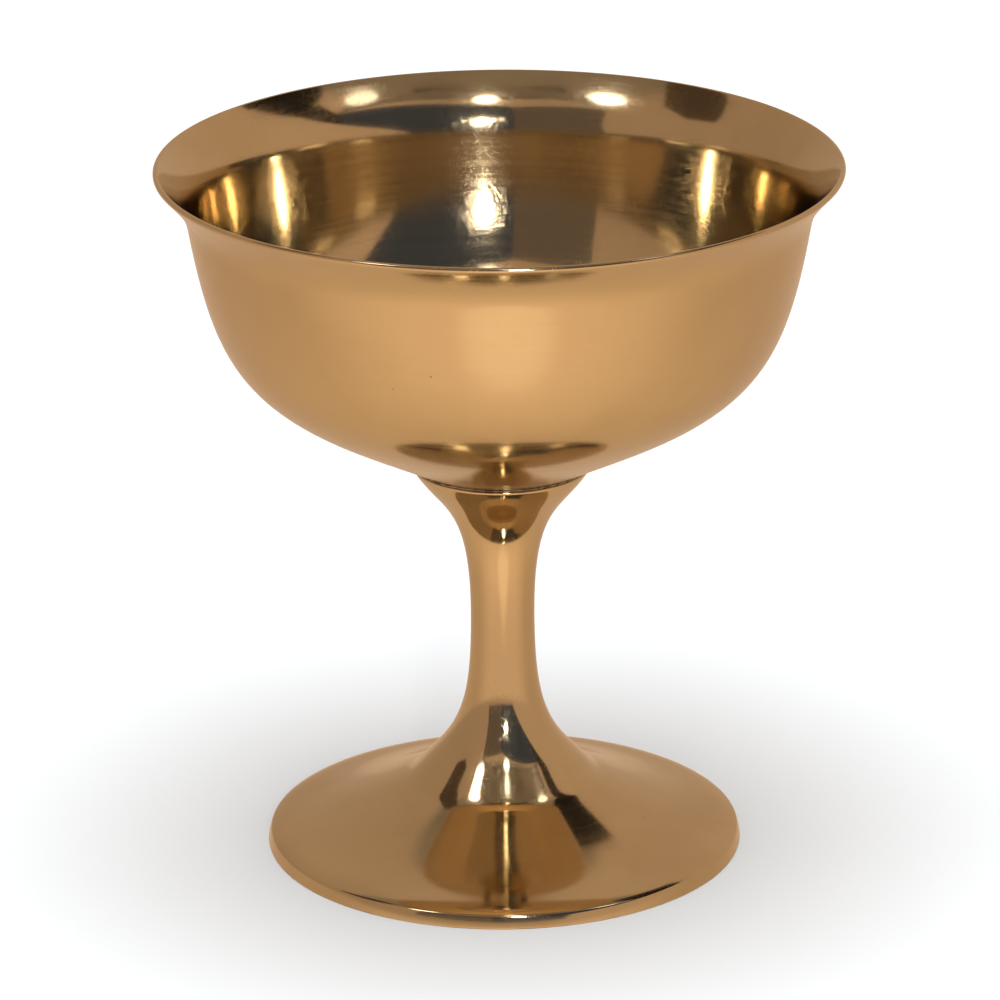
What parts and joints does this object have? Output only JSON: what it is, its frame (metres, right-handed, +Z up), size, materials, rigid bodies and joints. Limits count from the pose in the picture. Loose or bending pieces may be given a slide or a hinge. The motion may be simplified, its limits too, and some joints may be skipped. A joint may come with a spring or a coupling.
{
  "type": "pedestal cup",
  "caption": "Polished metal pedestal cup: a deep round bowl with a flared, round-edged lip, on a slim trumpet stem that runs into a wide round foot with a turned-down edge.",
  "frame": {"origin": "centre of the ring that the foot rests on", "axes": "+Z up the axis of the cup, from the foot to the lip; it is round about +Z, so +X and +Y are free"},
  "size_m": [0.0952, 0.0952, 0.1],
  "materials": {
    "bowl_brass": "mirror-polished spun brass, finely scratched inside",
    "stem_brass": "polished turned brass with faint lathe rings",
    "foot_brass": "polished spun brass, slightly tarnished",
    "turned_brass": "plain turned brass",
    "soft_solder": "dull grey soft solder",
    "zinc_plated_steel": "zinc-plated steel"
  },
  "bodies": {
    "root": {"bowl": "bowl_brass", "seam_solder": "soft_solder", "stem": "stem_brass", "foot": "foot_brass", "bowl_boss": "turned_brass", "tie_rod": "zinc_plated_steel", "foot_washer": "zinc_plated_steel", "foot_nut": "zinc_plated_steel"}
  },
  "joints": []
}
